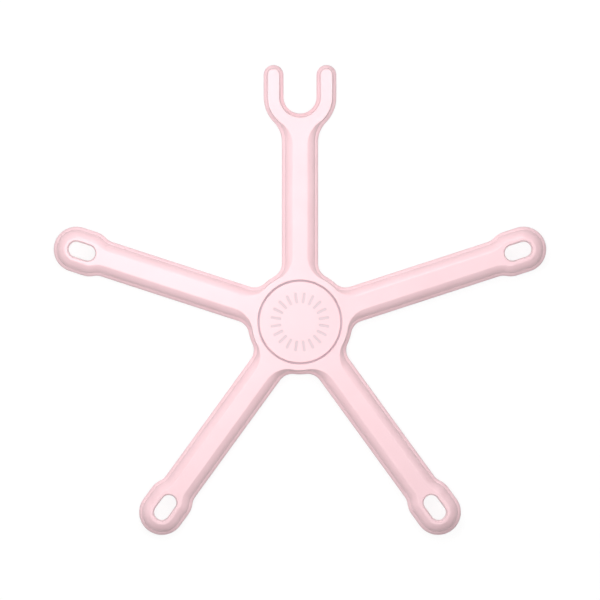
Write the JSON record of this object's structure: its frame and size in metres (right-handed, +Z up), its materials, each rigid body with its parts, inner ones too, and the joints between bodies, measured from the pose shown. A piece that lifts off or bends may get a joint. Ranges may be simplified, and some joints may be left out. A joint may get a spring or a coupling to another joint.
{
  "type": "flexible phone mount",
  "caption": "Soft star-shaped phone holder with bendable arms round a hub disc; one arm ends in a fork for a phone grip's neck and the others in slotted eyelets.",
  "frame": {"origin": "on the hub's axis, in the plane of the underside that the star rests on", "axes": "+Z up out of the hub disc, +Y along the fork arm, +X to the right with the fork pointing away"},
  "size_m": [0.197, 0.1879, 0.01],
  "materials": {
    "silicone": "satin pale pink silicone",
    "disc": "satin pale pink",
    "core": "plain stamped sheet"
  },
  "bodies": {
    "hub": {"hub_skin": "silicone", "hub_disc": "disc", "core_plate": "core", "fork_arm_bend_1": "silicone", "left_arm_bend_1": "silicone", "lower_left_arm_bend_1": "silicone", "lower_right_arm_bend_1": "silicone", "right_arm_bend_1": "silicone"},
    "fork_arm_inner": {"fork_arm_link_1": "silicone", "fork_arm_bend_2": "silicone"},
    "fork_arm_middle": {"fork_arm_link_2": "silicone", "fork_arm_bend_3": "silicone"},
    "fork_arm_tip": {"fork_arm_end": "silicone"},
    "left_arm_inner": {"left_arm_link_1": "silicone", "left_arm_bend_2": "silicone"},
    "left_arm_middle": {"left_arm_link_2": "silicone", "left_arm_bend_3": "silicone"},
    "left_arm_tip": {"left_arm_end": "silicone"},
    "lower_left_arm_inner": {"lower_left_arm_link_1": "silicone", "lower_left_arm_bend_2": "silicone"},
    "lower_left_arm_middle": {"lower_left_arm_link_2": "silicone", "lower_left_arm_bend_3": "silicone"},
    "lower_left_arm_tip": {"lower_left_arm_end": "silicone"},
    "lower_right_arm_inner": {"lower_right_arm_link_1": "silicone", "lower_right_arm_bend_2": "silicone"},
    "lower_right_arm_middle": {"lower_right_arm_link_2": "silicone", "lower_right_arm_bend_3": "silicone"},
    "lower_right_arm_tip": {"lower_right_arm_end": "silicone"},
    "right_arm_inner": {"right_arm_link_1": "silicone", "right_arm_bend_2": "silicone"},
    "right_arm_middle": {"right_arm_link_2": "silicone", "right_arm_bend_3": "silicone"},
    "right_arm_tip": {"right_arm_end": "silicone"}
  },
  "joints": [
    {"name": "fork_arm_root_bend", "type": "hinge", "parent": "hub", "child": "fork_arm_inner", "pos_m": [0, 0.03206, 0.005], "axis": [1, 0, 0], "range_deg": [-40, 40], "deforming": ["fork_arm_bend_1", "core_plate"]},
    {"name": "fork_arm_mid_bend", "type": "hinge", "parent": "fork_arm_inner", "child": "fork_arm_middle", "pos_m": [0, 0.04866, 0.005], "axis": [1, 0, 0], "range_deg": [-40, 40], "deforming": ["fork_arm_bend_2", "core_plate"]},
    {"name": "fork_arm_outer_bend", "type": "hinge", "parent": "fork_arm_middle", "child": "fork_arm_tip", "pos_m": [0, 0.06525, 0.005], "axis": [1, 0, 0], "range_deg": [-40, 40], "deforming": ["fork_arm_bend_3", "core_plate"]},
    {"name": "left_arm_root_bend", "type": "hinge", "parent": "hub", "child": "left_arm_inner", "pos_m": [-0.03077, 0.01, 0.005], "axis": [0.309, 0.9511, 0], "range_deg": [-40, 40], "deforming": ["left_arm_bend_1", "core_plate"]},
    {"name": "left_arm_mid_bend", "type": "hinge", "parent": "left_arm_inner", "child": "left_arm_middle", "pos_m": [-0.04765, 0.01548, 0.005], "axis": [0.309, 0.9511, 0], "range_deg": [-40, 40], "deforming": ["left_arm_bend_2", "core_plate"]},
    {"name": "left_arm_outer_bend", "type": "hinge", "parent": "left_arm_middle", "child": "left_arm_tip", "pos_m": [-0.06454, 0.02097, 0.005], "axis": [0.309, 0.9511, 0], "range_deg": [-40, 40], "deforming": ["left_arm_bend_3", "core_plate"]},
    {"name": "lower_left_arm_root_bend", "type": "hinge", "parent": "hub", "child": "lower_left_arm_inner", "pos_m": [-0.01902, -0.02617, 0.005], "axis": [-0.809, 0.5878, 0], "range_deg": [-40, 40], "deforming": ["lower_left_arm_bend_1", "core_plate"]},
    {"name": "lower_left_arm_mid_bend", "type": "hinge", "parent": "lower_left_arm_inner", "child": "lower_left_arm_middle", "pos_m": [-0.02945, -0.04054, 0.005], "axis": [-0.809, 0.5878, 0], "range_deg": [-40, 40], "deforming": ["lower_left_arm_bend_2", "core_plate"]},
    {"name": "lower_left_arm_outer_bend", "type": "hinge", "parent": "lower_left_arm_middle", "child": "lower_left_arm_tip", "pos_m": [-0.03989, -0.0549, 0.005], "axis": [-0.809, 0.5878, 0], "range_deg": [-40, 40], "deforming": ["lower_left_arm_bend_3", "core_plate"]},
    {"name": "lower_right_arm_root_bend", "type": "hinge", "parent": "hub", "child": "lower_right_arm_inner", "pos_m": [0.01902, -0.02617, 0.005], "axis": [-0.809, -0.5878, 0], "range_deg": [-40, 40], "deforming": ["lower_right_arm_bend_1", "core_plate"]},
    {"name": "lower_right_arm_mid_bend", "type": "hinge", "parent": "lower_right_arm_inner", "child": "lower_right_arm_middle", "pos_m": [0.02945, -0.04054, 0.005], "axis": [-0.809, -0.5878, 0], "range_deg": [-40, 40], "deforming": ["lower_right_arm_bend_2", "core_plate"]},
    {"name": "lower_right_arm_outer_bend", "type": "hinge", "parent": "lower_right_arm_middle", "child": "lower_right_arm_tip", "pos_m": [0.03989, -0.0549, 0.005], "axis": [-0.809, -0.5878, 0], "range_deg": [-40, 40], "deforming": ["lower_right_arm_bend_3", "core_plate"]},
    {"name": "right_arm_root_bend", "type": "hinge", "parent": "hub", "child": "right_arm_inner", "pos_m": [0.03077, 0.01, 0.005], "axis": [0.309, -0.9511, 0], "range_deg": [-40, 40], "deforming": ["right_arm_bend_1", "core_plate"]},
    {"name": "right_arm_mid_bend", "type": "hinge", "parent": "right_arm_inner", "child": "right_arm_middle", "pos_m": [0.04765, 0.01548, 0.005], "axis": [0.309, -0.9511, 0], "range_deg": [-40, 40], "deforming": ["right_arm_bend_2", "core_plate"]},
    {"name": "right_arm_outer_bend", "type": "hinge", "parent": "right_arm_middle", "child": "right_arm_tip", "pos_m": [0.06454, 0.02097, 0.005], "axis": [0.309, -0.9511, 0], "range_deg": [-40, 40], "deforming": ["right_arm_bend_3", "core_plate"]}
  ]
}
